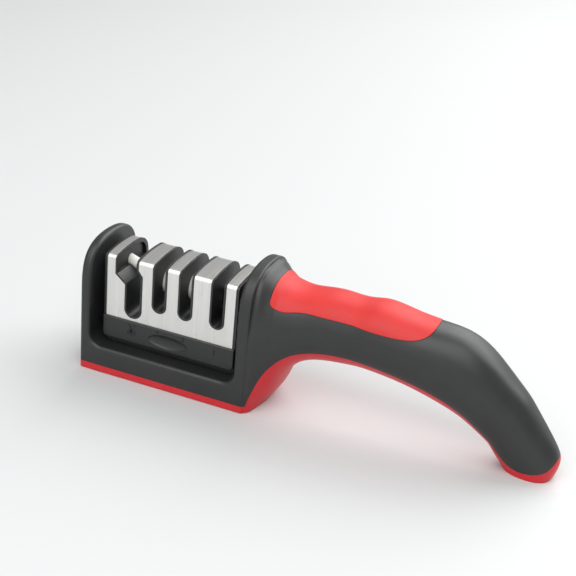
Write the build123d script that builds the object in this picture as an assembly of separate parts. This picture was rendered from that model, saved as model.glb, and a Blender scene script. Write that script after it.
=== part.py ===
from build123d import *
import math
import os

os.makedirs("parts", exist_ok=True)

# Overall sizes in millimetres. X is measured from the outer end face of the head while
# modelling, and every piece is moved to the middle of the base when it is written.
body_length = 225.5
head_length = 86.2
head_width = 45.0
end_wall_height = 64.1
neck_height = 67.8
overrun = 1.0

# Body: cradle, arched end wall and neck
end_wall_thickness = 5.0
neck_rim_thickness = 5.8
neck_setback = 0.8
neck_edge_radius = 1.0
sill_height = 13.2
bay_corner_radius = 6.0
outer_edge_radius = 2.0
bay_edge_radius = 1.6
arch_straight_share = 0.66
arch_shoulder_shares = (0.815, 0.907)
handle_wall = 4.8
hollow_half_width = 7.0
pocket_floor = 8.4
guide_pad_height = 46.0
guide_pad_width = 20.0

# Red underside
base_thickness = 3.6
base_clearance = 0.3
flat_end_share = 0.045

# Red top grip
grip_thickness = 2.4
grip_stand_out = 0.25
grip_gap = 0.15
grip_front_share = 0.034

# Handle rings: top point (x, z), bottom point (x, z), half width, squareness.
# x is a share of the handle's length, z of the neck's height, and width of half the head's width.
handle_ring_shares = (
    (-0.033, 0.991, -0.033, -0.442, 0.984, 3.30),
    (-0.013, 0.988, -0.013, -0.442, 0.983, 3.40),
    (0.003, 0.976, 0.001, -0.280, 0.975, 3.25),
    (0.017, 0.959, 0.014, -0.115, 0.953, 2.95),
    (0.032, 0.935, 0.031, 0.006, 0.920, 2.65),
    (0.047, 0.914, 0.061, 0.103, 0.879, 2.50),
    (0.067, 0.891, 0.087, 0.233, 0.829, 2.40),
    (0.096, 0.876, 0.124, 0.344, 0.776, 2.40),
    (0.132, 0.872, 0.167, 0.400, 0.726, 2.45),
    (0.175, 0.883, 0.208, 0.425, 0.701, 2.45),
    (0.228, 0.894, 0.252, 0.437, 0.689, 2.40),
    (0.350, 0.899, 0.350, 0.451, 0.693, 2.40),
    (0.472, 0.880, 0.466, 0.424, 0.689, 2.40),
    (0.595, 0.856, 0.557, 0.377, 0.667, 2.40),
    (0.704, 0.797, 0.644, 0.316, 0.636, 2.40),
    (0.786, 0.668, 0.695, 0.265, 0.596, 2.40),
    (0.851, 0.547, 0.749, 0.188, 0.547, 2.30),
    (0.907, 0.419, 0.784, 0.119, 0.502, 2.30),
    (0.951, 0.307, 0.816, 0.034, 0.458, 2.20),
    (0.985, 0.210, 0.829, -0.006, 0.420, 2.20),
    (1.000, 0.110, 0.849, -0.086, 0.390, 2.20),
    (0.990, 0.020, 0.856, -0.117, 0.365, 2.20),
    (0.955, -0.050, 0.884, -0.140, 0.330, 2.20),
)
quarter_points = 6

# Line between black body and red underside, past the flat base: shares of handle length and neck height.
# Its last point lies beyond the tip.
split_line_shares = (
    (0.014, 0.151),
    (0.050, 0.325),
    (0.097, 0.438),
    (0.187, 0.522),
    (0.347, 0.547),
    (0.499, 0.502),
    (0.617, 0.430),
    (0.724, 0.304),
    (0.816, 0.128),
    (0.856, 0.062),
    (0.897, 0.046),
    (0.939, 0.058),
    (0.966, 0.083),
    (0.983, 0.122),
    (1.010, 0.230),
)
# Side view of the top grip's lower edge, in the same shares
grip_line_shares = (
    (0.038, 0.840),
    (0.047, 0.795),
    (0.075, 0.773),
    (0.128, 0.785),
    (0.210, 0.794),
    (0.321, 0.791),
    (0.430, 0.783),
    (0.490, 0.787),
    (0.525, 0.803),
    (0.548, 0.830),
    (0.560, 0.862),
    (0.566, 0.905),
)

# Cartridge and steel cover
cartridge_start = 8.7
cartridge_end = 76.5
cover_start = 10.05
cover_end = 75.25
cover_front = 15.2
cover_rear = 14.2
cover_top = 59.7
cover_bottom = 27.4
cover_crown_radius = 75.0
cover_front_radius = 2.4
cover_rear_radius = 8.5
sheet_thickness = 0.7
sheet_gap = 0.05
end_plate_inset = 0.3
strip_width = 32.0
strip_bottom = 16.4
strip_edge_radius = 0.6
strip_corner_radius = 2.0
tongue_width = 26.0
tongue_inset = 0.6
pocket_gap = 0.5
seat_gap = 0.3
parting_gap = 0.12
scoop_length = 20.0
scoop_height = 6.6
scoop_depth = 1.3
scoop_centre_x = 43.0
scoop_centre_z = 21.4

# Slots in the steel cover, and the plastic lining that stands in them
stage_centres = (37.3, 50.6, 66.65)
slot_width = 7.6
slot_bottom = 34.9
lining = 0.9
lining_gap = 0.12
lining_stand_out = 0.2
scissors_slot_left = 19.4
scissors_slot_right = 28.5
scissors_slot_bottom = 28.7
scissors_mouth_left = 14.2
scissors_mouth_right = 26.2
scissors_step_low = 45.2
scissors_step_high = 49.4
scissors_step_right_low = 51.0
scissors_step_right_high = 53.9
scissors_recess = 0.4
scissors_recess_lip = 1.8

# Ceramic rod of the scissors slot
rod_radius = 2.6
rod_middle_x = 20.6
rod_middle_z = 48.6
rod_slope = 20.0
rod_length = 19.2
rod_gap = 0.02

# Ceramic wheel pairs and their axles
wheel_stage_names = ("medium", "fine")
wheel_radius = 6.4
wheel_hub_radius = 2.7
wheel_outer_face = 4.2
wheel_rim_face = 2.5
wheel_inner_face = 0.2
wheel_height = 46.0
wheel_pocket_gap = 0.6
wheel_side_gap = 0.3
axle_radius = 1.5
axle_length = 11.6
axle_seat_gap = 0.02
wheel_running_gap = 0.05

# Crossed carbide blades, their holder and its screw
blade_length = 14.0
blade_width = 2.2
blade_thickness = 1.6
blade_tilt = 18.0
blade_middle_height = 42.5
blade_gap = 0.2
blade_seat_gap = 0.02
blade_clearance = 0.4
holder_length = 10.0
holder_width = 9.0
holder_bottom = 31.2
holder_top = 41.0
holder_gap = 0.1
holder_screw_length = 13.0

# Screws
screw_radius = 1.2
screw_head_radius = 2.2
screw_head_depth = 1.4
screw_gap = 0.1
screw_sink = 0.5
recess_length = 2.6
recess_width = 0.6
recess_depth = 0.8
base_screw_start_x = 14.0
base_screw_spacing = 58.0
base_screw_side_y = 18.0
base_screw_length = 8.0
handle_screw_share = 0.46
handle_screw_height = 29.4
handle_screw_length = 13.0
handle_boss_radius = 4.0
cartridge_screw_positions = (15.5, 46.0, 70.0)
cartridge_screw_height = 22.5
cartridge_screw_length = 24.0

# Non-slip pad under the head
pad_thickness = 0.8
pad_margin_x = 8.0
pad_width = 26.0
pad_corner_radius = 3.0
pad_gap = 0.1

# Release button, its spring and its housing block
button_height = 13.6
button_radius = 3.4
button_stand_out = 7.9
button_edge_radius = 1.2
button_gap = 0.1
button_flange_radius = 4.1
button_flange_thickness = 1.0
button_wall = 1.4
button_rod_radius = 1.9
button_rod_end = 13.0
button_hook_length = 1.5
button_hook_width = 3.0
button_hook_height = 2.7
button_travel = 2.0
chamber_radius = 4.5
block_thickness = 3.3
block_height = 44.0
block_width = 18.0
block_end_plate = 1.0
block_gap = 0.1
block_screw_heights = (24.0, 38.0)
block_screw_length = 6.2
groove_width = 5.2
groove_top = 18.0
lug_gap = 0.3
spring_wire_radius = 0.25
spring_mean_radius = 3.0
spring_turns = 3
spring_end_gap = 0.05

handle_length = body_length - head_length
half_width = head_width / 2
neck_end = head_length - neck_setback
bay_end = neck_end - neck_rim_thickness
tallest = max(neck_height, end_wall_height) + overrun
tongue_bottom = pocket_floor + seat_gap
strip_top = cover_bottom - sheet_gap
slot_mouth = cover_top + slot_width
holder_screw_height = holder_bottom + screw_head_radius
handle_screw_x = head_length + handle_screw_share * handle_length
origin_x = (body_length - button_stand_out) / 2


def box(x0, x1, y0, y1, z0, z1):
    # A block between six limits
    centre = ((x0 + x1) / 2, (y0 + y1) / 2, (z0 + z1) / 2)
    return Pos(*centre) * Box(x1 - x0, y1 - y0, z1 - z0)


def rod_x(x0, x1, y, z, radius):
    # A round bar along X
    return Pos((x0 + x1) / 2, y, z) * Rot(0, 90, 0) * Cylinder(radius, x1 - x0)


def rod_y(x, y0, y1, z, radius):
    # A round bar along Y
    return Pos(x, (y0 + y1) / 2, z) * Rot(90, 0, 0) * Cylinder(radius, y1 - y0)


def rod_z(x, y, z0, z1, radius):
    # A round bar along Z
    return Pos(x, y, (z0 + z1) / 2) * Cylinder(radius, z1 - z0)


def side_face(lines):
    # A closed outline of (x, z) points as a face in the middle plane
    return make_face(Plane.XZ * (Curve() + lines))


def across(face, half):
    # A side view pushed out to both sides of the middle plane
    return extrude(face, amount=half, both=True)


def from_shares(pairs):
    # Side-view points from shares of the handle's length and the neck's height
    return [(head_length + x * handle_length, z * neck_height) for x, z in pairs]


def arch_face(height, x):
    # The arched outline of the end wall and of the neck, seen along X
    straight = height * arch_straight_share
    shoulder = (half_width * arch_shoulder_shares[0], height * arch_shoulder_shares[1])
    mirrored = (-shoulder[0], shoulder[1])
    right = Spline((half_width, straight), shoulder, (0, height), tangents=((0, 1), (-1, 0)))
    left = Spline((-half_width, straight), mirrored, (0, height), tangents=((0, 1), (1, 0)))
    floor = Line((-half_width, 0), (half_width, 0))
    sides = [Line((half_width, 0), (half_width, straight)), Line((-half_width, straight), (-half_width, 0))]
    return make_face(Plane.YZ.offset(x) * (Curve() + [floor, right, left] + sides))


def quarter_ring(side, rise, squareness):
    # One quarter of a rounded outline, as shares of its half width and half height
    points = []
    for step in range(quarter_points):
        angle = math.pi / 2 * step / quarter_points
        across_share = math.cos(angle) ** (2 / squareness)
        along_share = math.sin(angle) ** (2 / squareness)
        points.append((side * across_share, rise * along_share))
    return points + [(0, rise)]


def ring(shares, inset):
    # One rounded cross-section of the handle, square to its line, in four edges
    top_x, top_z, low_x, low_z, width, squareness = shares
    top, low = from_shares([(top_x, top_z), (low_x, low_z)])
    reach = math.dist(top, low) / 2
    up = Vector((top[0] - low[0]) / (2 * reach), 0, (top[1] - low[1]) / (2 * reach))
    middle = Vector((top[0] + low[0]) / 2, 0, (top[1] + low[1]) / 2)
    edges = []
    for side, rise in ((1, 1), (-1, 1), (-1, -1), (1, -1)):
        points = []
        for across_share, along_share in quarter_ring(side, rise, squareness):
            sideways = Vector(0, across_share * (width * half_width - inset), 0)
            points.append(middle + sideways + up * (along_share * (reach - inset)))
        upright = up * rise
        level = Vector(0, -side, 0)
        if side == rise:
            edges.append(Spline(*points, tangents=(upright, level)))
        else:
            edges.append(Spline(*reversed(points), tangents=(level * -1, upright * -1)))
    return Wire(edges)


def handle_form(inset):
    # The handle's outer form, or the same form drawn in by a wall
    return Solid.make_loft([ring(shares, inset) for shares in handle_ring_shares])


def bay_face():
    # Side view of the opening that the cartridge stands in
    low = sill_height + bay_corner_radius
    left = end_wall_thickness
    return side_face([
        Line((left, tallest), (left, low)),
        RadiusArc((left, low), (left + bay_corner_radius, sill_height), -bay_corner_radius),
        Line((left + bay_corner_radius, sill_height), (bay_end - bay_corner_radius, sill_height)),
        RadiusArc((bay_end - bay_corner_radius, sill_height), (bay_end, low), -bay_corner_radius),
        Line((bay_end, low), (bay_end, tallest)),
        Line((bay_end, tallest), (left, tallest)),
    ])


def round_end(block, side, radius):
    # Rounds the upright and arched edges of a block's end face, the near one or the far one
    end = block.faces().sort_by(Axis.X)[side]
    return fillet(end.edges().sort_by(Axis.Z)[1:], radius)


def head_form():
    # End wall, sill and neck rim around the bay
    block = extrude(arch_face(end_wall_height, 0), amount=bay_end + overrun)
    rim = extrude(arch_face(neck_height, bay_end), amount=neck_rim_thickness)
    head = round_end(block, 0, outer_edge_radius) + round_end(rim, -1, neck_edge_radius)
    return head - across(bay_face(), half_width + overrun)


def soften_bay(head):
    # Rounds on the edges where the bay opens to the outside
    return fillet([edge for edge in head.edges() if is_bay_edge(edge)], bay_edge_radius)


def is_bay_edge(edge):
    # True for an edge between the bay and the outside of the head
    limits = edge.bounding_box()
    to_one_side = abs(edge.center().Y) > half_width / 4
    inside = limits.min.X > end_wall_thickness - sheet_gap and limits.max.X < bay_end + sheet_gap
    return to_one_side and inside and limits.min.Z > base_thickness


def split_side(far):
    # Everything on one side of the line between the black body and the red underside, out to a level
    left = -overrun
    bend = (head_length, base_thickness)
    points = from_shares(split_line_shares)
    right = points[-1][0]
    outline = side_face([
        Line((left, base_thickness), bend),
        Spline(bend, *points),
        Line(points[-1], (right, far)),
        Line((right, far), (left, far)),
        Line((left, far), (left, base_thickness)),
    ])
    return across(outline, half_width + overrun)


def floor_block(top):
    # Everything below a level, far past the body on all sides
    return box(-overrun, body_length + overrun, -head_width, head_width, -neck_height, top)


def handle_solid():
    # The handle's outer form standing on the table
    return handle_form(0) - floor_block(0)


def grip_face(inset):
    # Side view of the top grip's area, drawn in by a gap
    first, *middle, last = [(x, z + inset) for x, z in from_shares(grip_line_shares)]
    first = (first[0] + inset, first[1])
    last = (last[0] - inset, last[1])
    front = (head_length + grip_front_share * handle_length + inset, tallest)
    back = (last[0], tallest)
    return side_face([Line(front, first), Spline(first, *middle, last), Line(last, back), Line(back, front)])


def grip_bed():
    # What the body gives up for the top grip
    return across(grip_face(0), half_width) - handle_form(grip_thickness)


def top_grip():
    # Soft inlay that wraps over the handle
    area = across(grip_face(grip_gap), head_width)
    return (handle_form(-grip_stand_out) & area) - handle_form(grip_thickness)


def handle_hollow():
    # The space inside the handle's shell, with a screw boss left standing
    points = []
    for shares in handle_ring_shares[7:-5]:
        top, low = from_shares([shares[0:2], shares[2:4]])
        share = handle_wall / math.dist(top, low)
        points.append((top[0] + share * (low[0] - top[0]), top[1] + share * (low[1] - top[1])))
    foot = (low[0], 0)
    heel = (points[0][0], 0)
    outline = side_face([Spline(*points), Line(points[-1], foot), Line(foot, heel), Line(heel, points[0])])
    return across(outline, hollow_half_width) - rod_z(handle_screw_x, 0, 0, neck_height, handle_boss_radius)


def pocket():
    # Pocket in the floor of the bay for the cartridge's tongue, with a recess for the button's housing
    half = tongue_width / 2 + pocket_gap
    left = cartridge_start + tongue_inset - pocket_gap
    right = cartridge_end - tongue_inset + pocket_gap
    room = box(left, right, -half, half, pocket_floor, sill_height + overrun)
    half = block_width / 2 + block_gap
    top = sill_height + bay_corner_radius
    return room + box(end_wall_thickness, left + overrun, -half, half, pocket_floor, top)


def guide_pad():
    # Pad on the neck side of the bay that guides the cartridge
    left = cartridge_end + seat_gap
    half = guide_pad_width / 2
    return box(left, bay_end + overrun, -half, half, sill_height, guide_pad_height)


def screw(length):
    # A pan-head screw standing on its head, with a cross recess
    head = rod_z(0, 0, 0, screw_head_depth, screw_head_radius)
    shaft = rod_z(0, 0, screw_head_depth, length, screw_radius)
    slot = Pos(0, 0, recess_depth / 2) * Box(recess_length, recess_width, recess_depth)
    return head + shaft - slot - Rot(0, 0, 90) * slot


def screw_hole(length, mouth):
    # The hole for such a screw, open past its head
    shaft = rod_z(0, 0, 0, length + screw_gap, screw_radius + screw_gap)
    return shaft + rod_z(0, 0, -mouth, screw_head_depth + screw_gap, screw_head_radius + screw_gap)


def base_screw_places():
    # Where the screws of the underside start, with their lengths
    low = base_clearance + screw_sink
    places = []
    for x in (base_screw_start_x, base_screw_start_x + base_screw_spacing):
        for y in (-base_screw_side_y, base_screw_side_y):
            places.append((Pos(x, y, low), base_screw_length))
    places.append((Pos(handle_screw_x, 0, handle_screw_height + screw_sink), handle_screw_length))
    return places


def block_screw_places():
    # Where the screws of the button's housing start
    start = end_wall_thickness + block_thickness - block_gap
    return [Pos(start, 0, z) * Rot(0, -90, 0) for z in block_screw_heights]


def cartridge_screw_places():
    # Where the screws that join the cartridge's halves start
    start = strip_width / 2 - screw_sink
    return [Pos(x, start, cartridge_screw_height) * Rot(90, 0, 0) for x in cartridge_screw_positions]


def holder_screw_place():
    # Where the screw of the blade holder starts
    return Pos(stage_centres[-1], -holder_width / 2, holder_screw_height) * Rot(-90, 0, 0)


def main_body():
    # Black body: cradle, end wall, neck and handle shell
    head = soften_bay(head_form()) - floor_block(base_thickness) - pocket() + guide_pad()
    head -= rod_x(-overrun, end_wall_thickness + overrun, 0, button_height, button_radius + button_gap)
    head -= rod_x(button_wall, end_wall_thickness + overrun, 0, button_height, chamber_radius)
    for place in block_screw_places():
        head -= place * screw_hole(block_screw_length, screw_sink)
    body = head + (handle_solid() - split_side(-tallest)) - grip_bed() - handle_hollow()
    for place, length in base_screw_places():
        body -= place * screw_hole(length, screw_sink)
    return body


def pad_block(grow, low):
    # The non-slip pad, or its recess
    half = pad_width / 2 + grow
    left = pad_margin_x - grow
    block = box(left, head_length - left, -half, half, low, pad_thickness)
    return fillet(block.edges().filter_by(Axis.Z), pad_corner_radius + grow)


def base_cover():
    # Red underside from the head up the arch and along the handle to the tip
    right = head_length + flat_end_share * handle_length
    head = head_form() & floor_block(base_thickness)
    cover = head + (handle_solid() - split_side(2 * tallest))
    cover -= box(-overrun, right, -head_width, head_width, -overrun, base_clearance)
    cover -= pad_block(pad_gap, 0)
    for place, length in base_screw_places():
        cover -= place * screw_hole(length, screw_sink + base_thickness)
    return cover


def cover_face(inset, x):
    # The steel cover's outline seen along X, drawn in by a wall
    middle = cover_top - cover_crown_radius
    reach = cover_crown_radius - inset
    front = inset - cover_front
    rear = cover_rear - inset
    front_top = middle + math.sqrt(reach ** 2 - front ** 2)
    rear_top = middle + math.sqrt(reach ** 2 - rear ** 2)
    return make_face(Plane.YZ.offset(x) * (Curve() + [
        Line((front, strip_top), (front, front_top)),
        ThreePointArc((front, front_top), (0, middle + reach), (rear, rear_top)),
        Line((rear, rear_top), (rear, strip_top)),
        Line((rear, strip_top), (front, strip_top)),
    ]))


def cover_block(inset, x0, x1):
    # A block with the steel cover's outline, drawn in by a wall
    block = extrude(cover_face(inset, x0), amount=x1 - x0, dir=(1, 0, 0))
    front = block.edges().filter_by(Axis.X).sort_by(Axis.Z)[-2:].sort_by(Axis.Y)[0]
    block = fillet(front, cover_front_radius - inset)
    rear = block.edges().filter_by(Axis.X).group_by(Axis.Y)[-1].sort_by(Axis.Z)[-1]
    return fillet(rear, cover_rear_radius - inset)


def plain_slot_face(centre):
    # Side view of a straight slot with a round bottom
    left = centre - slot_width / 2
    right = centre + slot_width / 2
    low = slot_bottom + slot_width / 2
    return side_face([
        Line((left, slot_mouth), (left, low)),
        ThreePointArc((left, low), (centre, slot_bottom), (right, low)),
        Line((right, low), (right, slot_mouth)),
        Line((right, slot_mouth), (left, slot_mouth)),
    ])


def scissors_slot_face():
    # Side view of the stepped scissors slot
    half = (scissors_slot_right - scissors_slot_left) / 2
    low = scissors_slot_bottom + half
    bottom = (scissors_slot_left + half, scissors_slot_bottom)
    right_step = (scissors_mouth_right, scissors_step_right_high)
    return side_face([
        Line((scissors_mouth_left, slot_mouth), (scissors_mouth_left, scissors_step_high)),
        Line((scissors_mouth_left, scissors_step_high), (scissors_slot_left, scissors_step_low)),
        Line((scissors_slot_left, scissors_step_low), (scissors_slot_left, low)),
        ThreePointArc((scissors_slot_left, low), bottom, (scissors_slot_right, low)),
        Line((scissors_slot_right, low), (scissors_slot_right, scissors_step_right_low)),
        Line((scissors_slot_right, scissors_step_right_low), right_step),
        Line(right_step, (scissors_mouth_right, slot_mouth)),
        Line((scissors_mouth_right, slot_mouth), (scissors_mouth_left, slot_mouth)),
    ])


def slots(inset):
    # All four slots, drawn in by a wall
    faces = [scissors_slot_face()] + [plain_slot_face(centre) for centre in stage_centres]
    return [across(offset(face, -inset) if inset else face, strip_width) for face in faces]


def steel_cover():
    # Folded sheet over the cartridge, open at both ends
    cover = cover_block(0, cover_start, cover_end)
    cover -= cover_block(sheet_thickness, cover_start - overrun, cover_end + overrun)
    cover -= box(cover_start, cover_end, -half_width, half_width, 0, cover_bottom)
    for slot in slots(0):
        cover -= slot
    return cover


def cartridge_form():
    # Both halves of the cartridge's housing as one block, before its slots and seats
    half = strip_width / 2
    strip = box(cartridge_start, cartridge_end, -half, half, strip_bottom, strip_top)
    strip = fillet(strip.edges().filter_by(Axis.Y).sort_by(Axis.Z)[:2], strip_corner_radius)
    strip = fillet(strip.faces().filter_by(Axis.Y).edges(), strip_edge_radius)
    tongue_start = cartridge_start + tongue_inset
    tongue_end = cartridge_end - tongue_inset
    half = tongue_width / 2
    tongue = box(tongue_start, tongue_end, -half, half, tongue_bottom, strip_bottom)
    form = strip + tongue + cover_block(sheet_thickness + sheet_gap, cartridge_start, cartridge_end)
    form += cover_block(end_plate_inset, cartridge_start, cover_start - sheet_gap)
    form += cover_block(end_plate_inset, cover_end + sheet_gap, cartridge_end)
    for slot in slots(lining_gap):
        form += slot & cover_block(-lining_stand_out, cover_start, cover_end)
    for slot in slots(lining_gap + lining):
        form -= slot
    return form


def scoops():
    # Shallow finger scoops in the strip, front and rear
    dent = scale(Sphere(1), by=(scoop_length / 2, scoop_depth, scoop_height / 2))
    sides = (-strip_width / 2, strip_width / 2)
    return [Pos(scoop_centre_x, y, scoop_centre_z) * dent for y in sides]


def rod_bar(grow, length):
    # The slanting ceramic rod, or its seat
    turned = Pos(rod_middle_x, 0, rod_middle_z) * Rot(0, 90 + rod_slope, 0)
    return turned * Cylinder(rod_radius + grow, length)


def scissors_room():
    # Room behind the lip of the scissors slot, on the side where the rod comes out
    left = scissors_mouth_left - scissors_recess
    right = scissors_mouth_left + lining + overrun
    room = box(left, right, -half_width, half_width, scissors_step_high + scissors_recess, slot_mouth)
    return room & cover_block(scissors_recess_lip, left, right)


def wheel_pocket(centre):
    # Round pocket for a pair of wheels, with the seats of their axle
    reach = wheel_outer_face + wheel_side_gap
    space = rod_x(centre - reach, centre + reach, 0, wheel_height, wheel_radius + wheel_pocket_gap)
    return space + axle(centre, axle_seat_gap)


def axle(centre, grow):
    # Axle of a wheel pair, or its seat
    half = axle_length / 2
    return rod_x(centre - half, centre + half, 0, wheel_height, axle_radius + grow)


def wheel(centre, side):
    # One ceramic wheel, coned towards its partner
    bore = axle_radius + wheel_running_gap
    points = [
        (wheel_inner_face, bore),
        (wheel_inner_face, wheel_hub_radius),
        (wheel_rim_face, wheel_radius),
        (wheel_outer_face, wheel_radius),
        (wheel_outer_face, bore),
    ]
    outline = make_face(Plane.XZ * Polyline(*points, close=True))
    disc = revolve(outline, axis=Axis.X)
    turned = disc if side > 0 else Rot(0, 0, 180) * disc
    return Pos(centre, 0, wheel_height) * turned


def blade(side, grow):
    # One carbide blade, or its seat
    place = Pos(stage_centres[-1], side * (blade_thickness + blade_gap) / 2, blade_middle_height)
    size = (blade_width + 2 * grow, blade_thickness + 2 * grow, blade_length + 2 * grow)
    return place * Rot(0, side * blade_tilt, 0) * Box(*size)


def holder_block(grow, top):
    # The blade holder's block, or the room for it
    centre = stage_centres[-1]
    x = holder_length / 2 + grow
    y = holder_width / 2 + grow
    return box(centre - x, centre + x, -y, y, holder_bottom - grow, top)


def blade_holder():
    # Block that holds the crossed blades
    block = holder_block(0, holder_top)
    for side in (-1, 1):
        block -= blade(side, blade_seat_gap)
    return block - holder_screw_place() * screw_hole(holder_screw_length, screw_sink)


def groove():
    # Room in the tongue for the button's rod and hook
    left = cartridge_start - overrun
    right = button_rod_end + button_travel + pocket_gap
    half = groove_width / 2
    return box(left, right, -half, half, tongue_bottom - overrun, groove_top)


def lug():
    # Rib above the button's rod that the hook stands behind
    right = button_rod_end - button_hook_length - lug_gap
    low = button_height + button_rod_radius + lug_gap
    half = groove_width / 2
    return box(cartridge_start, right, -half, half, low, groove_top)


def cartridge_housing():
    # The cartridge's housing with every slot, seat and hole
    housing = cartridge_form() - scissors_room() - groove() + lug()
    housing -= rod_bar(rod_gap, rod_length + 2 * rod_gap)
    for dent in scoops():
        housing -= dent
    for name, centre in zip(wheel_stage_names, stage_centres):
        housing -= wheel_pocket(centre)
    blade_top = blade_middle_height + blade_length / 2 + blade_clearance
    housing -= holder_block(holder_gap, blade_top)
    housing -= holder_screw_place() * screw_hole(holder_screw_length, screw_sink)
    for place in cartridge_screw_places():
        housing -= place * screw_hole(cartridge_screw_length, screw_sink + overrun)
    return housing


def housing_half(housing, side):
    # Front half for side -1, rear half for side 1
    near = side * parting_gap / 2
    far = side * half_width
    low, high = sorted((near, far))
    return housing & box(0, head_length, low, high, 0, slot_mouth)


def button():
    # Red release button with its flange, rod and hook
    flange_start = button_wall + button_gap
    flange_end = flange_start + button_flange_thickness
    cap = rod_x(-button_stand_out, flange_start, 0, button_height, button_radius)
    cap = fillet(cap.faces().sort_by(Axis.X)[0].edges(), button_edge_radius)
    flange = rod_x(flange_start, flange_end, 0, button_height, button_flange_radius)
    rod = rod_x(flange_end, button_rod_end, 0, button_height, button_rod_radius)
    half = button_hook_width / 2
    top = button_height + button_hook_height
    hook = box(button_rod_end - button_hook_length, button_rod_end, -half, half, button_height, top)
    return cap + flange + rod + hook


def button_housing():
    # Block that closes the button's chamber and guides its rod
    start = end_wall_thickness
    end = end_wall_thickness + block_thickness
    half = block_width / 2
    block = box(start, end, -half, half, pocket_floor + block_gap, block_height)
    block -= rod_x(start - overrun, end - block_end_plate, 0, button_height, chamber_radius)
    block -= rod_x(start, end + overrun, 0, button_height, button_rod_radius + button_gap)
    half = button_hook_width / 2 + button_gap
    top = button_height + button_hook_height + button_gap
    block -= box(start, end + overrun, -half, half, button_height, top)
    for place in block_screw_places():
        block -= place * screw_hole(block_screw_length, screw_sink)
    return block


def button_spring():
    # Coil between the button's flange and its housing
    start = button_wall + button_gap + button_flange_thickness + spring_end_gap + spring_wire_radius
    end = end_wall_thickness + block_thickness - block_end_plate - spring_end_gap - spring_wire_radius
    path = Helix((end - start) / spring_turns, end - start, spring_mean_radius)
    section = Plane(path @ 0, z_dir=path % 0) * Circle(spring_wire_radius)
    return Pos(start, 0, button_height) * Rot(0, 90, 0) * sweep(section, path=path)


def write(name, shape):
    # One STEP file for each piece, moved to the middle of the base
    moved = Pos(-origin_x, 0, 0) * shape
    solids = moved.solids()
    kept = solids[0] if len(solids) == 1 else Compound(label=name, children=solids)
    export_step(kept, f"parts/{name}.step")
    print(name, len(solids), round(sum(solid.volume for solid in solids)))


def write_body():
    # The body and what is fixed to it
    write("main_body", main_body())
    write("base_cover", base_cover())
    write("top_grip", top_grip())
    write("non_slip_pad", pad_block(0, 0))
    write("base_screws", Compound([place * screw(length) for place, length in base_screw_places()]))
    write("button_housing", button_housing())
    screws = [place * screw(block_screw_length) for place in block_screw_places()]
    write("button_housing_screws", Compound(screws))


def write_button():
    # The release button and its spring
    write("release_button", button())
    write("button_spring", button_spring())


def write_cartridge():
    # The lift-out cartridge
    housing = cartridge_housing()
    write("cartridge_front_half", housing_half(housing, -1))
    write("cartridge_rear_half", housing_half(housing, 1))
    write("steel_cover", steel_cover())
    screws = [place * screw(cartridge_screw_length) for place in cartridge_screw_places()]
    write("cartridge_screws", Compound(screws))
    write("scissors_rod", rod_bar(0, rod_length))
    for name, centre in zip(wheel_stage_names, stage_centres):
        write(f"{name}_axle", axle(centre, 0))
        write(f"{name}_wheel_left", wheel(centre, -1))
        write(f"{name}_wheel_right", wheel(centre, 1))
    write("carbide_blade_front", blade(-1, 0))
    write("carbide_blade_rear", blade(1, 0))
    write("blade_holder", blade_holder())
    write("holder_screw", holder_screw_place() * screw(holder_screw_length))


write_body()
write_button()
write_cartridge()
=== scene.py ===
import math

import bmesh
import bpy
from mathutils import Matrix, Vector


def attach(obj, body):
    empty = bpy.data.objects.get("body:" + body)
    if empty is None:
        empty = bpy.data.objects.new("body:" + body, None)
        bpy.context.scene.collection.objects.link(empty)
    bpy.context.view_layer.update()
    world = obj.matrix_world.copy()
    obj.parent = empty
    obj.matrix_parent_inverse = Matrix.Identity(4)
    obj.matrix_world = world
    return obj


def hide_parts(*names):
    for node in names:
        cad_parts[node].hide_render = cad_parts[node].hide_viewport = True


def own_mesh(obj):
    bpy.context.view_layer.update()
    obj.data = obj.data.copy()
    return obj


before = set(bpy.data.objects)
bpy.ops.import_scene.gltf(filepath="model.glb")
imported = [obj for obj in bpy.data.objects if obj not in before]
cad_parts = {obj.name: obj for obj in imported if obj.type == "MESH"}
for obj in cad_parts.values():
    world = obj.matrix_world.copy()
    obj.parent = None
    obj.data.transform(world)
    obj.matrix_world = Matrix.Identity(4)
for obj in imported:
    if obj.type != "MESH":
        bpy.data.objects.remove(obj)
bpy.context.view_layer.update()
print("frame loaded:", len(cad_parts), "nodes")

# Sizes in the dictionaries are in millimetres unless said otherwise, and the scene is in metres
perMetre = 1000.0


# Camera: three quarter view from above the front; places and clip distances in metres
camera = {
    "place": (0.1487, -0.4451, 0.2803),
    "right": (0.9196, 0.3828, 0.0880),
    "up": (-0.2378, 0.3645, 0.9003),
    "back": (0.3126, -0.8489, 0.4262),
    "lens": 73.22,
    "sensor": 36.0,
    "clip": (0.01, 30.0),
}


def placeCamera(settings):
    data = bpy.data.cameras.new("camera")
    data.lens = settings["lens"]
    data.sensor_width = settings["sensor"]
    data.clip_start, data.clip_end = settings["clip"]
    eye = bpy.data.objects.new("camera", data)
    axes = Matrix((settings["right"], settings["up"], settings["back"])).transposed()
    eye.matrix_world = Matrix.Translation(settings["place"]) @ axes.to_4x4()
    bpy.context.scene.collection.objects.link(eye)
    bpy.context.scene.camera = eye


placeCamera(camera)
print("camera placed")


# Node helpers; noise is read between two shares of its range
noiseRange = (0.3, 0.7)
bevelSamples = 4


def metres(values):
    return [value / perMetre for value in values]


def linear(hexColour):
    # sRGB hex to the linear colour that the shaders want
    channels = [int(hexColour[i:i + 2], 16) / 255 for i in (1, 3, 5)]
    curve = [c / 12.92 if c <= 0.04045 else ((c + 0.055) / 1.055) ** 2.4 for c in channels]
    return (*curve, 1.0)


def perMillimetre(size):
    # Pattern scale for Object coordinates in metres, from a real size in millimetres
    return perMetre / size


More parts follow.
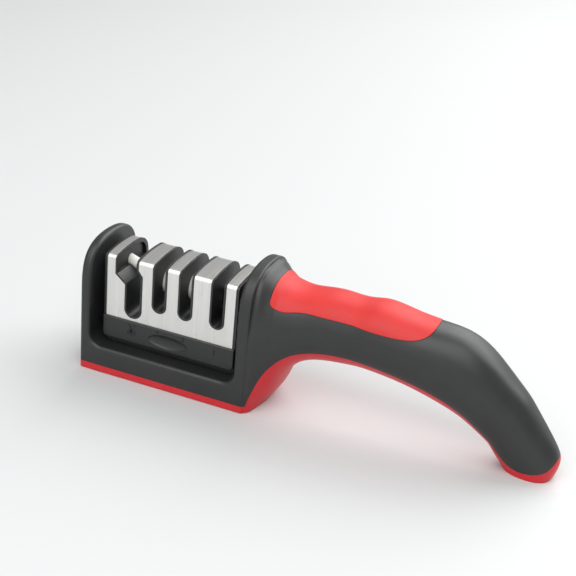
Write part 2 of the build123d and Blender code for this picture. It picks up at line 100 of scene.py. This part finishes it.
def addNode(tree, kind, settings=None, links=None):
    # One node with its settings, socket values and incoming links
    node = tree.nodes.new(kind)
    for name, value in (settings or {}).items():
        if isinstance(name, str) and hasattr(node, name):
            setattr(node, name, value)
        else:
            node.inputs[name].default_value = value
    for name, source in (links or {}).items():
        tree.links.new(source, node.inputs[name])
    return node


def startMaterial(name, colour, roughness, settings=None):
    material = bpy.data.materials.new(name)
    material.use_nodes = True
    tree = material.node_tree
    tree.nodes.clear()
    values = {"Base Color": linear(colour), "Roughness": roughness}
    values.update(settings or {})
    shader = addNode(tree, "ShaderNodeBsdfPrincipled", values)
    addNode(tree, "ShaderNodeOutputMaterial", {}, {"Surface": shader.outputs["BSDF"]})
    place = addNode(tree, "ShaderNodeTexCoord").outputs["Object"]
    return material, tree, shader, place


def noise(tree, place, grain, detail=2.0, stretch=(1.0, 1.0, 1.0)):
    # Noise with a grain size in millimetres, stretched along an axis where a share is under one
    moved = addNode(tree, "ShaderNodeMapping", {"Scale": stretch}, {"Vector": place})
    values = {"Scale": perMillimetre(grain), "Detail": detail}
    return addNode(tree, "ShaderNodeTexNoise", values, {"Vector": moved.outputs["Vector"]}).outputs["Fac"]


def spread(tree, source, low, high):
    # A noise value spread between two results
    values = {"From Min": noiseRange[0], "From Max": noiseRange[1], "To Min": low, "To Max": high}
    return addNode(tree, "ShaderNodeMapRange", values, {"Value": source}).outputs["Result"]


def tint(tree, source, dark, light):
    # A noise value turned into a colour between two hex colours
    ramp = addNode(tree, "ShaderNodeValToRGB", {}, {"Fac": source})
    for stop, share, colour in zip(ramp.color_ramp.elements, noiseRange, (dark, light)):
        stop.position = share
        stop.color = linear(colour)
    return ramp.outputs["Color"]


def bump(tree, source, height, edge):
    # Relief over softened edges, both in millimetres
    rounding = {"samples": bevelSamples, "Radius": edge / perMetre}
    soft = addNode(tree, "ShaderNodeBevel", rounding).outputs["Normal"]
    values = {"Distance": height / perMetre, "Strength": 1.0}
    return addNode(tree, "ShaderNodeBump", values, {"Height": source, "Normal": soft}).outputs["Normal"]


def finishShader(tree, shader, look, tone, gloss, relief, depth):
    # Tone, gloss and relief from noise, between the look's own limits
    tree.links.new(tint(tree, tone, look["dark"], look["light"]), shader.inputs["Base Color"])
    tree.links.new(spread(tree, gloss, *look["roughness"]), shader.inputs["Roughness"])
    tree.links.new(bump(tree, relief, depth, look["edge"]), shader.inputs["Normal"])


# Plastics and rubbers: grains and depths in millimetres
absBlack = {
    "dark": "#1a1b1b", "light": "#212222", "roughness": (0.40, 0.48), "specular": 0.62,
    "sparkGrain": 0.35, "sparkDepth": 0.018, "flowGrain": 16.0, "edge": 0.35,
}
absRed = {
    "dark": "#c3202a", "light": "#cd282f", "roughness": (0.36, 0.46), "specular": 0.4,
    "sparkGrain": 0.5, "sparkDepth": 0.010, "flowGrain": 14.0, "edge": 0.3,
}
tprRed = {
    "dark": "#c42927", "light": "#ce302d", "roughness": (0.48, 0.58), "specular": 0.4,
    "sparkGrain": 0.30, "sparkDepth": 0.012, "flowGrain": 12.0, "edge": 0.3,
}
tprBlack = {
    "dark": "#1b1b1b", "light": "#222222", "roughness": (0.75, 0.85), "specular": 0.3,
    "sparkGrain": 0.4, "sparkDepth": 0.02, "flowGrain": 9.0, "edge": 0.2,
}
pomBlack = {
    "dark": "#1a1b1b", "light": "#202121", "roughness": (0.30, 0.38), "specular": 0.45,
    "sparkGrain": 0.6, "sparkDepth": 0.006, "flowGrain": 8.0, "edge": 0.15,
}


def mouldedPlastic(name, look):
    # Moulded in a spark-eroded tool: fine even grain, slow changes of gloss from the melt's flow
    gloss = {"Specular IOR Level": look["specular"]}
    material, tree, shader, place = startMaterial(name, look["light"], look["roughness"][0], gloss)
    flow = noise(tree, place, look["flowGrain"], 3.0)
    spark = noise(tree, place, look["sparkGrain"], 3.0)
    finishShader(tree, shader, look, flow, flow, spark, look["sparkDepth"])
    return material


# Stainless sheet: lineLength is the share that the pattern is stretched by along the lines
brushedSheet = {
    "dark": "#d9d8d5", "light": "#eae9e6", "roughness": (0.26, 0.36),
    "fineLine": 0.16, "broadLine": 1.3, "lineLength": 0.02, "lineDepth": 0.0025,
    "anisotropic": 0.6, "edge": 0.25,
}


def brushedStainless(name, look):
    # Belt-ground before folding: hairlines run over the fold, down the front and back
    settings = {"Metallic": 1.0, "Anisotropic": look["anisotropic"]}
    material, tree, shader, place = startMaterial(name, look["light"], look["roughness"][0], settings)
    along = (1.0, look["lineLength"], look["lineLength"])
    fine = noise(tree, place, look["fineLine"], 3.0, along)
    broad = noise(tree, place, look["broadLine"], 3.0, along)
    mixed = addNode(tree, "ShaderNodeMath", {"operation": "ADD"}, {0: fine, 1: broad}).outputs["Value"]
    half = addNode(tree, "ShaderNodeMath", {"operation": "MULTIPLY", 1: 0.5}, {0: mixed}).outputs["Value"]
    finishShader(tree, shader, look, half, half, fine, look["lineDepth"])
    around = addNode(tree, "ShaderNodeTangent", {"direction_type": "RADIAL", "axis": "X"})
    tree.links.new(around.outputs["Tangent"], shader.inputs["Tangent"])
    return material


# Small metal parts
zincSteel = {
    "dark": "#a3a4a6", "light": "#babbbd", "roughness": (0.26, 0.36),
    "grain": 0.7, "depth": 0.004, "edge": 0.1,
}
groundSteel = {
    "dark": "#9c9c9c", "light": "#adadad", "roughness": (0.20, 0.30),
    "grain": 0.25, "depth": 0.003, "edge": 0.1,
}
springWire = {
    "dark": "#8f8f90", "light": "#a4a4a5", "roughness": (0.25, 0.32),
    "grain": 0.3, "depth": 0.003, "edge": 0.1,
}
sinteredCarbide = {
    "dark": "#4c4c4e", "light": "#5c5c5f", "roughness": (0.34, 0.46),
    "grain": 0.2, "depth": 0.004, "edge": 0.1,
}


def plainMetal(name, look):
    # Small turned, plated or ground part: even tone with a fine grain
    settings = {"Metallic": 1.0}
    material, tree, shader, place = startMaterial(name, look["light"], look["roughness"][0], settings)
    grain = noise(tree, place, look["grain"], 3.0)
    finishShader(tree, shader, look, grain, grain, grain, look["depth"])
    return material


# Alumina ceramic
alumina = {
    "dark": "#e4e3dd", "light": "#f1f0ea", "roughness": (0.55, 0.70),
    "grit": 0.28, "gritDepth": 0.02, "cloud": 3.0, "edge": 0.2,
}


def sinteredAlumina(name, look):
    # Fired and ground, unglazed: chalky white with a fine grit
    material, tree, shader, place = startMaterial(name, look["light"], look["roughness"][0])
    grit = noise(tree, place, look["grit"], 3.0)
    cloud = noise(tree, place, look["cloud"], 2.0)
    finishShader(tree, shader, look, cloud, grit, grit, look["gritDepth"])
    return material


finishes = {
    "black_plastic": mouldedPlastic("absBlackTextured", absBlack),
    "cartridge_plastic": mouldedPlastic("absBlackInsert", absBlack),
    "inner_plastic": mouldedPlastic("acetalBlack", pomBlack),
    "red_plastic": mouldedPlastic("absRedSatin", absRed),
    "button_plastic": mouldedPlastic("absRedButton", absRed),
    "red_rubber": mouldedPlastic("softTouchRed", tprRed),
    "black_rubber": mouldedPlastic("softTouchBlack", tprBlack),
    "brushed_cover": brushedStainless("stainlessBrushed", brushedSheet),
    "screw_steel": plainMetal("steelZincPlated", zincSteel),
    "axle_steel": plainMetal("steelGround", groundSteel),
    "spring_steel": plainMetal("steelSpringWire", springWire),
    "carbide": plainMetal("carbideSintered", sinteredCarbide),
    "white_ceramic": sinteredAlumina("aluminaUnglazed", alumina),
}
slotOfNode = {
    "main_body": "black_plastic", "base_cover": "red_plastic", "top_grip": "red_rubber",
    "non_slip_pad": "black_rubber", "base_screws": "screw_steel", "button_housing": "inner_plastic",
    "button_housing_screws": "screw_steel", "button_spring": "spring_steel",
    "cartridge_front_half": "cartridge_plastic", "cartridge_rear_half": "cartridge_plastic",
    "steel_cover": "brushed_cover", "cartridge_screws": "screw_steel", "scissors_rod": "white_ceramic",
    "medium_axle": "axle_steel", "fine_axle": "axle_steel", "carbide_blade_front": "carbide",
    "carbide_blade_rear": "carbide", "blade_holder": "inner_plastic", "holder_screw": "screw_steel",
    "release_button": "button_plastic", "medium_wheel_left": "white_ceramic",
    "medium_wheel_right": "white_ceramic", "fine_wheel_left": "white_ceramic",
    "fine_wheel_right": "white_ceramic",
}
for node, slotName in slotOfNode.items():
    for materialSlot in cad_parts[node].material_slots:
        materialSlot.material = finishes[slotName]
print("materials given to", len(slotOfNode), "nodes")


# Geometry Nodes helpers
def startTree(name, inputs):
    # A node tree whose named inputs are the sizes of the piece, and its group input and output
    tree = bpy.data.node_groups.new(name, "GeometryNodeTree")
    tree.interface.new_socket("Geometry", in_out="OUTPUT", socket_type="NodeSocketGeometry")
    tree.interface.new_socket("Geometry", in_out="INPUT", socket_type="NodeSocketGeometry")
    for label, kind in inputs.items():
        tree.interface.new_socket(label, in_out="INPUT", socket_type="NodeSocket" + kind)
    return tree, addNode(tree, "NodeGroupInput").outputs


def endTree(tree, geometry, material):
    real = addNode(tree, "GeometryNodeRealizeInstances", {}, {"Geometry": geometry}).outputs["Geometry"]
    done = addNode(tree, "GeometryNodeSetMaterial", {}, {"Geometry": real, "Material": material})
    addNode(tree, "NodeGroupOutput", {}, {"Geometry": done.outputs["Geometry"]})


def compute(tree, operation, first, second=None):
    # One sum in the tree, of numbers and of other nodes' results
    settings, links = {"operation": operation}, {}
    for place, value in enumerate((first, second)):
        if isinstance(value, bpy.types.NodeSocket):
            links[place] = value
        elif value is not None:
            settings[place] = value
    return addNode(tree, "ShaderNodeMath", settings, links).outputs["Value"]


def joinAll(tree, *geometries):
    join = addNode(tree, "GeometryNodeJoinGeometry")
    for geometry in geometries:
        tree.links.new(geometry, join.inputs["Geometry"])
    return join.outputs["Geometry"]


def plainMesh(holder):
    # What an object evaluates to, as a mesh of its own, after which the object goes
    seen = holder.evaluated_get(bpy.context.evaluated_depsgraph_get())
    mesh = bpy.data.meshes.new_from_object(seen)
    bpy.data.objects.remove(holder)
    return mesh


def grow(name, tree, start, values):
    # The tree's result on a start mesh, as a plain mesh
    holder = bpy.data.objects.new(name, start)
    bpy.context.scene.collection.objects.link(holder)
    modifier = holder.modifiers.new(name, "NODES")
    modifier.node_group = tree
    for item in tree.interface.items_tree:
        if item.in_out == "INPUT" and item.name in values:
            modifier[item.identifier] = values[item.name]
    return plainMesh(holder)


def pointsMesh(name, points):
    mesh = bpy.data.meshes.new(name)
    mesh.from_pydata([metres(point) for point in points], [], [])
    return mesh


def fitPiece(name, meshes, body, slotName, nodes=()):
    # One finished object from plain meshes, riding on its body and standing for its nodes
    shape = bmesh.new()
    for mesh in meshes:
        shape.from_mesh(mesh)
    whole = bpy.data.meshes.new(name)
    shape.to_mesh(whole)
    shape.free()
    whole.materials.clear()
    whole.materials.append(finishes[slotName])
    piece = bpy.data.objects.new(name, whole)
    bpy.context.scene.collection.objects.link(piece)
    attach(piece, body)
    if nodes:
        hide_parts(*nodes)
    return piece


# Pan-head screws with a cross recess and a coarse thread for plastic
# Counts, and the shares that shape the dome and the second bar of the recess, come after the sizes
panHead = {
    "headRadius": 2.2, "headDepth": 1.4, "headDome": 0.45, "shaftRadius": 1.2,
    "threadDepth": 0.24, "threadPitch": 1.0, "recessLength": 2.6, "recessWidth": 0.62, "recessDepth": 0.85,
}
panHeadShape = {
    "headPoints": 44, "headSideRings": 3, "headRings": 6, "domePower": 2.6, "secondBarShare": 0.96,
    "shaftPoints": 20, "shaftRings": 90,
}
# Each start is the place of the head's outer face, with the screw's length last

screwSets = {
    "cradleScrews": {
        "body": "base", "nodes": ("base_screws",), "along": (0.0, 0.0, 1.0),
        "starts": ((-94.8, -18.0, 0.8, 8.0), (-94.8, 18.0, 0.8, 8.0), (-36.8, -18.0, 0.8, 8.0),
                   (-36.8, 18.0, 0.8, 8.0), (41.478, 0.0, 29.9, 13.0)),
    },
    "buttonHousingScrews": {
        "body": "base", "nodes": ("button_housing_screws",), "along": (-1.0, 0.0, 0.0),
        "starts": ((-100.6, 0.0, 24.0, 6.2), (-100.6, 0.0, 38.0, 6.2)),
    },
    "cartridgeJoinScrews": {
        "body": "cartridge", "nodes": ("cartridge_screws",), "along": (0.0, -1.0, 0.0),
        "starts": ((-93.3, 15.5, 22.5, 24.0), (-62.8, 15.5, 22.5, 24.0), (-38.8, 15.5, 22.5, 24.0)),
    },
    "bladeHolderScrew": {
        "body": "cartridge", "nodes": ("holder_screw",), "along": (0.0, 1.0, 0.0),
        "starts": ((-42.15, -4.5, 33.4, 13.0),),
    },
}


def screwHead(tree, size, shape, parts, flat):
    # A disc of rings whose outer face is domed, with a cross recess cut into it
    settings = {
        "fill_type": "TRIANGLE_FAN", "Vertices": shape["headPoints"], "Fill Segments": shape["headRings"],
        "Side Segments": shape["headSideRings"], "Radius": size["headRadius"], "Depth": size["headDepth"],
    }
    disc = addNode(tree, "GeometryNodeMeshCylinder", settings).outputs["Mesh"]
    reach = addNode(tree, "ShaderNodeVectorMath", {"operation": "LENGTH"}, {0: flat}).outputs["Value"]
    share = compute(tree, "DIVIDE", reach, size["headRadius"])
    rise = compute(tree, "MULTIPLY", compute(tree, "POWER", share, shape["domePower"]), size["headDome"])
    below = addNode(tree, "FunctionNodeCompare", {"operation": "LESS_THAN", 1: 0.0}, {0: parts["Z"]})
    lift = addNode(tree, "ShaderNodeCombineXYZ", {}, {"Z": rise}).outputs["Vector"]
    links = {"Geometry": disc, "Selection": below.outputs["Result"], "Offset": lift}
    domed = addNode(tree, "GeometryNodeSetPosition", {}, links).outputs["Geometry"]
    up = {"Translation": (0.0, 0.0, size["headDepth"] / 2)}
    head = addNode(tree, "GeometryNodeTransform", up, {"Geometry": domed}).outputs["Geometry"]
    long, wide, deep = size["recessLength"], size["recessWidth"], size["recessDepth"]
    for bar in ((long, wide, 2 * deep), (wide, long, 2 * (deep * shape["secondBarShare"]))):
        block = addNode(tree, "GeometryNodeMeshCube", {"Size": bar}).outputs["Mesh"]
        settings = {"operation": "DIFFERENCE", "solver": "EXACT"}
        cut = addNode(tree, "GeometryNodeMeshBoolean", settings, {0: head})
        tree.links.new(block, cut.inputs[1])
        head = cut.outputs["Mesh"]
    return head


def screwShaft(tree, size, shape, parts, flat, length):
    # A tube of rings pushed in along a helix
    span = compute(tree, "SUBTRACT", length, size["headDepth"])
    settings = {
        "Vertices": shape["shaftPoints"], "Side Segments": shape["shaftRings"],
        "Radius": size["shaftRadius"],
    }
    rod = addNode(tree, "GeometryNodeMeshCylinder", settings, {"Depth": span}).outputs["Mesh"]
    turn = compute(tree, "DIVIDE", compute(tree, "ARCTAN2", parts["Y"], parts["X"]), math.tau)
    phase = compute(tree, "SUBTRACT", compute(tree, "DIVIDE", parts["Z"], size["threadPitch"]), turn)
    deep = 2 * size["threadDepth"] / size["shaftRadius"]
    inward = compute(tree, "MULTIPLY", compute(tree, "PINGPONG", phase, 0.5), -deep)
    push = addNode(tree, "ShaderNodeVectorMath", {"operation": "SCALE"}, {0: flat, "Scale": inward})
    links = {"Geometry": rod, "Offset": push.outputs["Vector"]}
    thread = addNode(tree, "GeometryNodeSetPosition", {}, links).outputs["Geometry"]
    level = compute(tree, "ADD", compute(tree, "MULTIPLY", span, 0.5), size["headDepth"])
    raised = addNode(tree, "ShaderNodeCombineXYZ", {}, {"Z": level}).outputs["Vector"]
    links = {"Geometry": thread, "Translation": raised}
    return addNode(tree, "GeometryNodeTransform", {}, links).outputs["Geometry"]


def screwTree(look, shape):
    # One screw for each start point, turned to its direction
    kinds = {"Length": "Float", "Along": "Vector", "Finish": "Material"}
    tree, given = startTree("panHeadScrew", kinds)
    size = {label: value / perMetre for label, value in look.items()}
    place = addNode(tree, "GeometryNodeInputPosition").outputs["Position"]
    parts = addNode(tree, "ShaderNodeSeparateXYZ", {}, {"Vector": place}).outputs
    flat = addNode(tree, "ShaderNodeCombineXYZ", {}, {"X": parts["X"], "Y": parts["Y"]}).outputs["Vector"]
    head = screwHead(tree, size, shape, parts, flat)
    shaft = screwShaft(tree, size, shape, parts, flat, given["Length"])
    screw = joinAll(tree, head, shaft)
    turned = addNode(tree, "FunctionNodeAlignRotationToVector", {"axis": "Z"}, {"Vector": given["Along"]})
    links = {"Points": given["Geometry"], "Instance": screw, "Rotation": turned.outputs["Rotation"]}
    placed = addNode(tree, "GeometryNodeInstanceOnPoints", {}, links).outputs["Instances"]
    endTree(tree, placed, given["Finish"])
    return tree


def addScrews(tree):
    for name, look in screwSets.items():
        meshes = []
        for length in sorted({start[3] for start in look["starts"]}):
            points = [start[:3] for start in look["starts"] if start[3] == length]
            values = {"Length": length / perMetre, "Along": look["along"]}
            values["Finish"] = finishes["screw_steel"]
            meshes.append(grow(name, tree, pointsMesh(name, points), values))
        fitPiece(name, meshes, look["body"], "screw_steel", look["nodes"])


addScrews(screwTree(panHead, panHeadShape))
print("screws made:", sum(len(look["starts"]) for look in screwSets.values()))


# Non-slip pad: a sheet with rounded corners and ribs across its lower face
padLook = {
    "from": (-100.8, -13.0), "to": (-30.6, 13.0), "sheetDepth": 0.45, "ribDepth": 0.35, "ribWidth": 1.1,
    "ribPitch": 2.34, "ribInset": 1.2, "cornerRadius": 2.0,
}
padCornerPoints = 8
padWeldReach = 0.001


def padTree(look):
    # Ribs instanced on a line of points under a rounded sheet
    tree, given = startTree("ribbedPad", {"Ribs": "Int", "Finish": "Material"})
    size = {label: value / perMetre for label, value in look.items() if not isinstance(value, tuple)}
    low, high = metres(look["from"]), metres(look["to"])
    long, wide = high[0] - low[0], high[1] - low[1]
    middle = (low[0] + long / 2, low[1] + wide / 2)
    # Sheet
    settings = {"Width": long, "Height": wide}
    outline = addNode(tree, "GeometryNodeCurvePrimitiveQuadrilateral", settings).outputs["Curve"]
    settings = {"mode": "POLY", "Radius": size["cornerRadius"], "Count": padCornerPoints}
    rounded = addNode(tree, "GeometryNodeFilletCurve", settings, {"Curve": outline}).outputs["Curve"]
    face = addNode(tree, "GeometryNodeFillCurve", {"mode": "NGONS"}, {"Curve": rounded}).outputs["Mesh"]
    settings = {"Offset Scale": size["sheetDepth"], "Individual": False}
    solid = addNode(tree, "GeometryNodeExtrudeMesh", settings, {"Mesh": face}).outputs["Mesh"]
    back = addNode(tree, "GeometryNodeFlipFaces", {}, {"Mesh": face}).outputs["Mesh"]
    weld = {"Distance": padWeldReach / perMetre}
    closed = addNode(tree, "GeometryNodeMergeByDistance", weld, {"Geometry": joinAll(tree, solid, back)})
    above = {"Translation": (middle[0], middle[1], size["ribDepth"])}
    sheet = addNode(tree, "GeometryNodeTransform", above, {"Geometry": closed.outputs["Geometry"]})
    # Rib: a flat bar that reaches from the table into the sheet
    bar = (size["ribWidth"], wide - 2 * size["ribInset"], size["ribDepth"] * 2)
    rib = addNode(tree, "GeometryNodeMeshCube", {"Size": bar}).outputs["Mesh"]
    first = (middle[0] - long / 2 + size["ribInset"] + size["ribWidth"] / 2, middle[1], size["ribDepth"])
    settings = {"Start Location": first, "Offset": (size["ribPitch"], 0.0, 0.0)}
    row = addNode(tree, "GeometryNodeMeshLine", settings, {"Count": given["Ribs"]}).outputs["Mesh"]
    ribs = addNode(tree, "GeometryNodeInstanceOnPoints", {}, {"Points": row, "Instance": rib})
    endTree(tree, joinAll(tree, sheet.outputs["Geometry"], ribs.outputs["Instances"]), given["Finish"])
    return tree


def addPad(look):
    long = look["to"][0] - look["from"][0]
    ribs = int((long - 2 * look["ribInset"] - look["ribWidth"]) / look["ribPitch"]) + 1
    values = {"Ribs": ribs, "Finish": finishes["black_rubber"]}
    mesh = grow("ribbedPad", padTree(look), pointsMesh("padStart", [(0.0, 0.0, 0.0)]), values)
    fitPiece("ribbedPad", [mesh], "base", "black_rubber", ("non_slip_pad",))


addPad(padLook)
print("pad made")


# Marks on the strip under the slots: plain numerals and a pair of open scissors
# Places are X and Z on the strip's front face, the spread is half the angle between the blades in degrees
markLook = {
    "face": -16.0, "height": 0.3, "sunk": 0.05,
    "numerals": {"3": (-71.5, 25.7), "2": (-58.2, 25.5), "1": (-42.15, 23.4)},
    "numeralSize": 3.4,
    "scissors": {"middle": (-84.9, 23.2), "blade": 3.3, "bladeWidth": 0.7, "tipShare": 0.6, "shank": 1.2,
                 "spread": 33.0, "loop": (0.85, 0.65), "wire": 0.4, "loopPoints": 28},
}


def flatText(body, size, depth):
    curve = bpy.data.curves.new("mark" + body, "FONT")
    curve.body = body
    curve.size = size / perMetre
    curve.align_x = "CENTER"
    curve.align_y = "CENTER"
    curve.extrude = depth / 2 / perMetre
    holder = bpy.data.objects.new("mark" + body, curve)
    bpy.context.scene.collection.objects.link(holder)
    return plainMesh(holder)


def prism(outline, depth, hole=None):
    # A flat outline, with a hole of as many points where given, as a closed plate
    low, high = -depth / 2, depth / 2
    count = len(outline)
    points = [(x, y, z) for z in (low, high) for x, y in outline]
    rings = [(0, 1)]
    faces = []
    if hole:
        points += [(x, y, z) for z in (low, high) for x, y in hole]
        rings.append((3, 2))
        for level, turned in ((0, True), (1, False)):
            for at in range(count):
                onward = (at + 1) % count
                inner = (level + 2) * count
                face = [level * count + at, level * count + onward, inner + onward, inner + at]
                faces.append(face[::-1] if turned else face)
    else:
        faces += [list(range(count))[::-1], [count + at for at in range(count)]]
    for lower, upper in rings:
        for at in range(count):
            onward = (at + 1) % count
            bottom, top = lower * count, upper * count
            faces.append([bottom + at, bottom + onward, top + onward, top + at])
    mesh = bpy.data.meshes.new("plate")
    mesh.from_pydata([metres(point) for point in points], [], faces)
    return mesh


def scissorsMeshes(look, depth):
    # Two blades crossed at the pivot, each with a shank and a finger loop
    half, shank, tip = look["bladeWidth"] / 2, look["shank"], look["tipShare"] * look["blade"]
    blade = [(-half, -shank), (half, -shank), (half, tip), (0.0, look["blade"]), (-half, tip)]
    across, along = look["loop"]
    wire, count = look["wire"], look["loopPoints"]
    middle = -shank - across + wire / 2
    rounds = [math.tau * step / count for step in range(count)]
    outer = [((along + wire) * math.cos(a), (across + wire) * math.sin(a) + middle) for a in rounds]
    inner = [(along * math.cos(a), across * math.sin(a) + middle) for a in rounds]
    meshes = []
    for side in (-1.0, 1.0):
        turn = Matrix.Rotation(math.radians(look["spread"] * side), 4, "Z")
        for mesh in (prism(blade, depth), prism(outer, depth, inner)):
            mesh.transform(turn)
            meshes.append(mesh)
    return meshes


def standUp(mesh, x, z):
    # From the flat XY plane to the strip's front face, read from the front
    level = markLook["face"] - (markLook["height"] - markLook["sunk"]) / 2
    turn = Matrix.Rotation(math.pi / 2, 4, "X")
    mesh.transform(Matrix.Translation(metres((x, level, z))) @ turn)
    return mesh


def addMarks(look):
    depth, size, scissors = look["height"] + look["sunk"], look["numeralSize"], look["scissors"]
    meshes = [standUp(flatText(body, size, depth), *place) for body, place in look["numerals"].items()]
    meshes += [standUp(mesh, *scissors["middle"]) for mesh in scissorsMeshes(scissors, depth)]
    fitPiece("stripMarks", meshes, "cartridge", "cartridge_plastic")


addMarks(markLook)
print("strip marks made")


# Coil spring between the button's flange and its housing
coilLook = {
    "start": (-106.0, 0.0, 13.6), "length": 4.2, "turns": 3.0, "radius": 3.0, "wireRadius": 0.25,
    "anchor": (-101.5, 0.0, 13.6), "travel": 2.0, "clearance": 0.05, "turnPoints": 48, "wirePoints": 12,
}


def coilTree(look):
    # A wire of round section along a spiral that is laid down along the X axis
    tree, given = startTree("coilSpring", {"Turns": "Float", "Finish": "Material"})
    radius, length, wireRadius = metres((look["radius"], look["length"], look["wireRadius"]))
    settings = {"Start Radius": radius, "End Radius": radius, "Height": length}
    settings["Resolution"] = look["turnPoints"]
    turns = {"Rotations": given["Turns"]}
    spiral = addNode(tree, "GeometryNodeCurveSpiral", settings, turns).outputs["Curve"]
    settings = {"Resolution": look["wirePoints"], "Radius": wireRadius}
    ring = addNode(tree, "GeometryNodeCurvePrimitiveCircle", settings).outputs["Curve"]
    links = {"Curve": spiral, "Profile Curve": ring}
    wire = addNode(tree, "GeometryNodeCurveToMesh", {"Fill Caps": True}, links).outputs["Mesh"]
    settings = {"Translation": metres(look["start"]), "Rotation": (0.0, math.pi / 2, 0.0)}
    laid = addNode(tree, "GeometryNodeTransform", settings, {"Geometry": wire}).outputs["Geometry"]
    endTree(tree, laid, given["Finish"])
    return tree


def addCoil(look):
    values = {"Turns": look["turns"], "Finish": finishes["spring_steel"]}
    mesh = grow("coilSpring", coilTree(look), pointsMesh("coilStart", [(0.0, 0.0, 0.0)]), values)
    coil = fitPiece("coilSpring", [mesh], "base", "spring_steel", ("button_spring",))
    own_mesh(coil)


addCoil(coilLook)
print("spring made")


# Floor and light: sizes and places in metres, power in watts
studio = {
    "floorSize": 8.0, "floorColour": "#c9cbcb", "floorRoughness": 0.6,
    "worldColour": "#ffffff", "worldStrength": 0.42,
}
lamps = {
    "overheadSoftbox": {
        "place": (0.0, -0.60, 1.15), "aim": (0.0, 0.0, 0.0), "size": (1.4, 1.0), "power": 11.5,
    },
    "backSoftbox": {
        "place": (0.50, 1.00, 1.05), "aim": (0.0, 0.0, 0.04), "size": (1.9, 1.3), "power": 28.0,
    },
    "frontFill": {
        "place": (-0.10, -1.40, 0.75), "aim": (0.0, 0.0, 0.03), "size": (2.0, 1.0), "power": 7.0,
    },
}


def buildStudio(settings):
    half = settings["floorSize"] / 2
    mesh = bpy.data.meshes.new("floor")
    corners = [(-half, -half, 0), (half, -half, 0), (half, half, 0), (-half, half, 0)]
    mesh.from_pydata(corners, [], [(0, 1, 2, 3)])
    floor = bpy.data.objects.new("floor", mesh)
    bpy.context.scene.collection.objects.link(floor)
    finish = startMaterial("paperWhite", settings["floorColour"], settings["floorRoughness"])
    mesh.materials.append(finish[0])
    world = bpy.data.worlds.new("studio")
    world.use_nodes = True
    sky = world.node_tree.nodes["Background"]
    sky.inputs["Color"].default_value = linear(settings["worldColour"])
    sky.inputs["Strength"].default_value = settings["worldStrength"]
    bpy.context.scene.world = world


def placeLamp(name, settings):
    data = bpy.data.lights.new(name, "AREA")
    data.shape = "RECTANGLE"
    data.size, data.size_y = settings["size"]
    data.energy = settings["power"]
    lamp = bpy.data.objects.new(name, data)
    towards = Vector(settings["aim"]) - Vector(settings["place"])
    turn = towards.to_track_quat("-Z", "Y").to_matrix().to_4x4()
    lamp.matrix_world = Matrix.Translation(settings["place"]) @ turn
    bpy.context.scene.collection.objects.link(lamp)


bpy.context.scene.view_settings.view_transform = "Standard"
buildStudio(studio)
for lampName, lampSettings in lamps.items():
    placeLamp(lampName, lampSettings)
print("studio ready:", len(lamps), "lamps")
